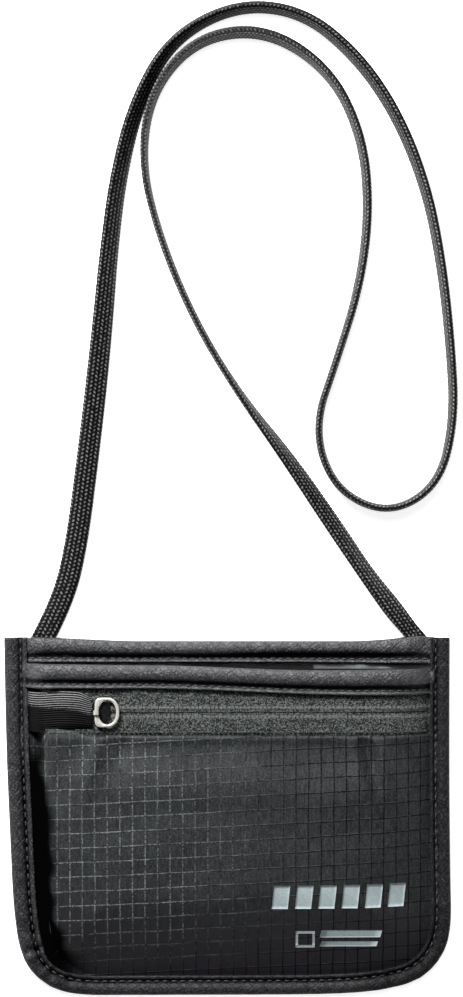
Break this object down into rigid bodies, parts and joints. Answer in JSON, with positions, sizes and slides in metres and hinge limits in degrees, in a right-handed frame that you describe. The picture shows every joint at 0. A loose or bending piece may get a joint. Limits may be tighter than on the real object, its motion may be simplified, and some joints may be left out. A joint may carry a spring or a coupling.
{
  "type": "neck pouch wallet",
  "caption": "Flat fabric neck pouch with an open top slot, a zipped front pocket, bound edges and a long flat braided neck cord.",
  "frame": {"origin": "bottom centre of the pouch's bounding box without the cord, where it lies on its back", "axes": "+X across the pouch, +Y from its bottom edge towards its top edge and cord, +Z out of its front"},
  "size_m": [0.1481, 0.3231, 0.0114],
  "materials": {
    "ripstop": "coated black ripstop nylon with a square reinforcing grid of about 4 by 4.7 mm",
    "plain_nylon": "plain black nylon weave",
    "binding_tape": "dark grey plain-weave nylon binding tape, slightly wrinkled",
    "shield_fabric": "silver-grey metallised shielding fabric",
    "zip_tape": "dark grey-green woven zipper tape",
    "zip_coil": "black nylon monofilament",
    "slider_metal": "black painted zinc",
    "puller_metal": "polished nickel plate with a soft gloss",
    "ribbon": "ribbed black grosgrain ribbon",
    "thread": "black polyester sewing thread",
    "hook_tape": "black hook tape",
    "loop_tape": "black looped pile tape",
    "cord_braid": "black flat tubular braid with grey flecks",
    "print_ink": "light grey transfer print"
  },
  "bodies": {
    "pouch": {"back_panel": "plain_nylon", "back_shield_liner": "shield_fabric", "back_top_binding": "binding_tape", "back_band_stitching": "thread", "hook_strip": "hook_tape", "loop_strip": "loop_tape", "divider_panel": "plain_nylon", "front_shield_liner": "shield_fabric", "front_top_binding": "binding_tape", "front_band_stitching": "thread", "zip_tape_upper": "zip_tape", "zip_tape_lower": "zip_tape", "zip_coil_upper": "zip_coil", "zip_coil_lower": "zip_coil", "zip_end_tab": "ribbon", "front_panel": "ripstop", "zip_hem_stitching": "thread", "front_print": "print_ink", "perimeter_binding": "binding_tape", "perimeter_stitching": "thread", "cord_end_left": "cord_braid", "cord_end_right": "cord_braid", "neck_cord": "cord_braid"},
    "slider": {"zip_slider": "slider_metal"},
    "puller": {"zip_puller": "puller_metal"}
  },
  "joints": [
    {"name": "zipper_slide", "type": "slide", "parent": "pouch", "child": "slider", "axis": [1, 0, 0], "range_m": [0, 0.092]},
    {"name": "puller_hinge", "type": "hinge", "parent": "slider", "child": "puller", "pos_m": [-0.0421, 0.0343, 0.01005], "axis": [0, -1, 0], "range_deg": [0, 165]}
  ]
}
